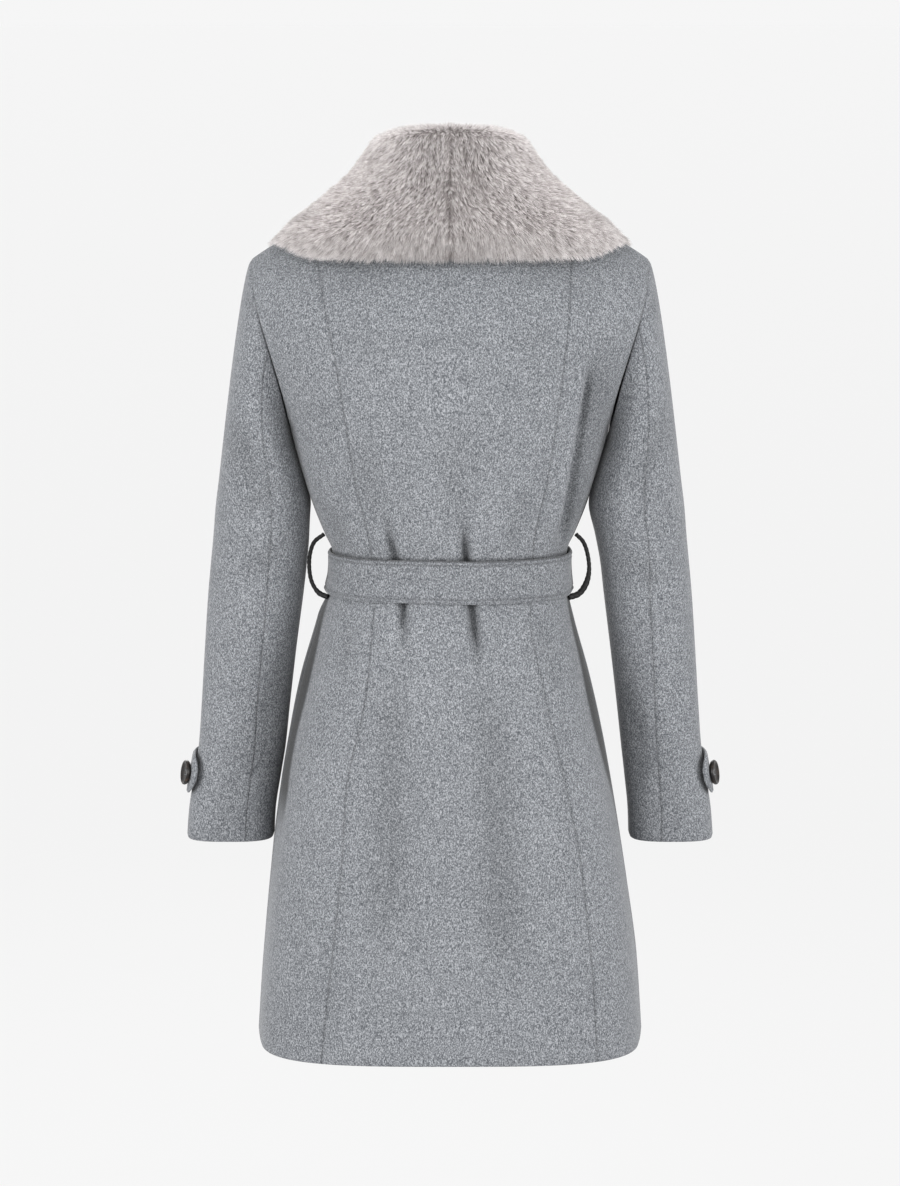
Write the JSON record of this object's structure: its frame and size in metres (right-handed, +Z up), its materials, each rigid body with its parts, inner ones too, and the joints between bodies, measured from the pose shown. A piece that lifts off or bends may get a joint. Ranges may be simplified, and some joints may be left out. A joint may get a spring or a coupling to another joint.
{
  "type": "winter coat",
  "caption": "Knee-length belted wool coat with a large plush fur collar, princess seams, two-piece sleeves with buttoned cuff tabs and cord belt loops, filled out as worn.",
  "frame": {"origin": "on the neck's axis, level with the inner ends of the shoulder seams, where the wearer's neck and shoulders hold the coat", "axes": "+Z up, the wearer faces -Y, the wearer's left is +X"},
  "size_m": [0.5614, 0.2811, 0.9492],
  "materials": {
    "wool": "brushed grey melange coating wool with a short nap",
    "belt_wool": "the same grey melange wool, topstitched at both edges",
    "fur": "dense plush faux fur, taupe grey with paler tips",
    "cord": "matt near-black thread chain",
    "horn": "polished imitation horn, mottled dark brown and black"
  },
  "bodies": {
    "root": {"back_centre": "wool", "back_side_left": "wool", "back_side_right": "wool", "front_side_left": "wool", "front_side_right": "wool", "front_left": "wool", "front_right": "wool", "sleeve_upper_left": "wool", "sleeve_under_left": "wool", "sleeve_upper_right": "wool", "sleeve_under_right": "wool", "cuff_tab_left": "wool", "cuff_tab_right": "wool", "cuff_button_left": "horn", "cuff_button_right": "horn", "belt_band": "belt_wool", "belt_knot": "belt_wool", "belt_tail_under": "belt_wool", "belt_tail_over": "belt_wool", "belt_loop_left": "cord", "belt_loop_right": "cord", "collar_left": "fur", "collar_right": "fur"}
  },
  "joints": []
}
